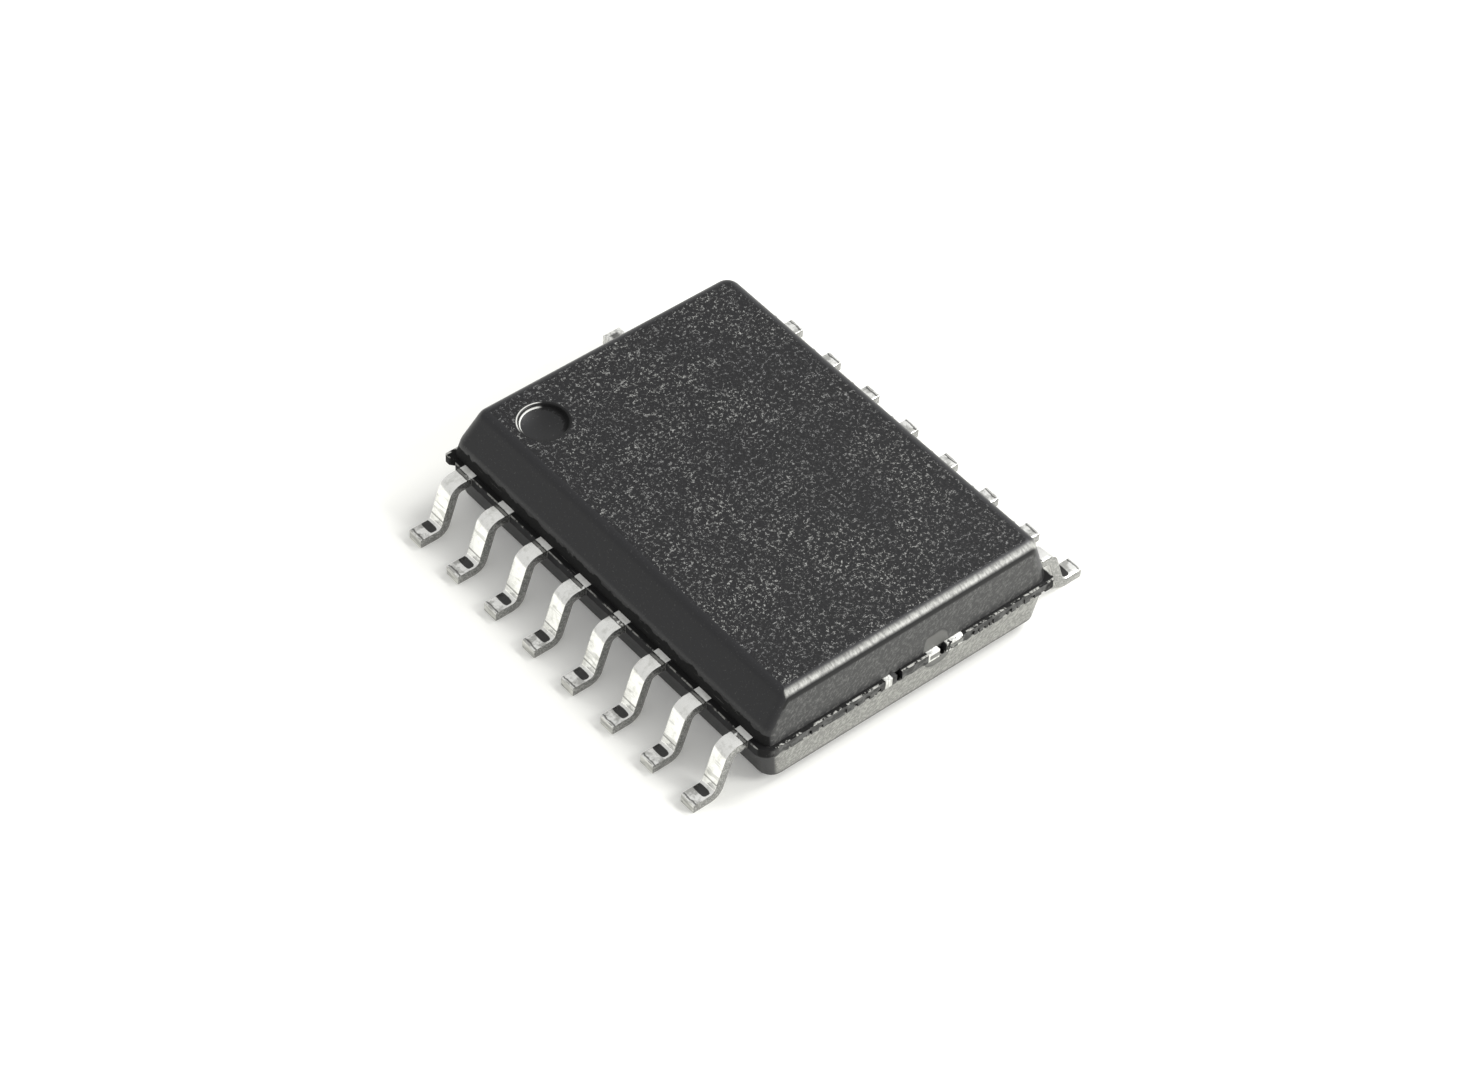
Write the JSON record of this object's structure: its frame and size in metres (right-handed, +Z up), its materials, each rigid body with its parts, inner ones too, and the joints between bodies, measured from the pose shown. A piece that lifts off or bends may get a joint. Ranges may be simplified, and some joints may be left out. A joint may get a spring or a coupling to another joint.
{
  "type": "wide small-outline integrated circuit package",
  "caption": "Surface-mount chip: a black moulded block with a bevelled pin 1 side and a round pin 1 mark, standing on rows of folded gull-wing leads.",
  "frame": {"origin": "centre of the package between its rows of leads, on the board's surface under the feet", "axes": "+Z up from the board through the top face; +Y along the package towards the pin 1 end; the pin 1 row lies on -X"},
  "size_m": [0.0104, 0.0111, 0.0023],
  "materials": {
    "mould_compound": "fine-grained matt black mould compound, smooth on the bevel",
    "tin_plate": "bright tin plate with forming marks",
    "leadframe_copper": "bare copper alloy strip, its cut ends tinned",
    "die_adhesive": "cured silver-filled adhesive",
    "silicon": "polished silicon",
    "bond_wire": "drawn gold wire"
  },
  "bodies": {
    "root": {"mould_body": "mould_compound", "die_paddle": "leadframe_copper", "die_attach": "die_adhesive", "silicon_die": "silicon", "lead_1": "tin_plate", "lead_2": "tin_plate", "lead_3": "tin_plate", "lead_4": "tin_plate", "lead_5": "tin_plate", "lead_6": "tin_plate", "lead_7": "tin_plate", "lead_8": "tin_plate", "lead_9": "tin_plate", "lead_10": "tin_plate", "lead_11": "tin_plate", "lead_12": "tin_plate", "lead_13": "tin_plate", "lead_14": "tin_plate", "lead_15": "tin_plate", "lead_16": "tin_plate", "bond_wire_1": "bond_wire", "bond_wire_2": "bond_wire", "bond_wire_3": "bond_wire", "bond_wire_4": "bond_wire", "bond_wire_5": "bond_wire", "bond_wire_6": "bond_wire", "bond_wire_7": "bond_wire", "bond_wire_8": "bond_wire", "bond_wire_9": "bond_wire", "bond_wire_10": "bond_wire", "bond_wire_11": "bond_wire", "bond_wire_12": "bond_wire", "bond_wire_13": "bond_wire", "bond_wire_14": "bond_wire", "bond_wire_15": "bond_wire", "bond_wire_16": "bond_wire"}
  },
  "joints": []
}
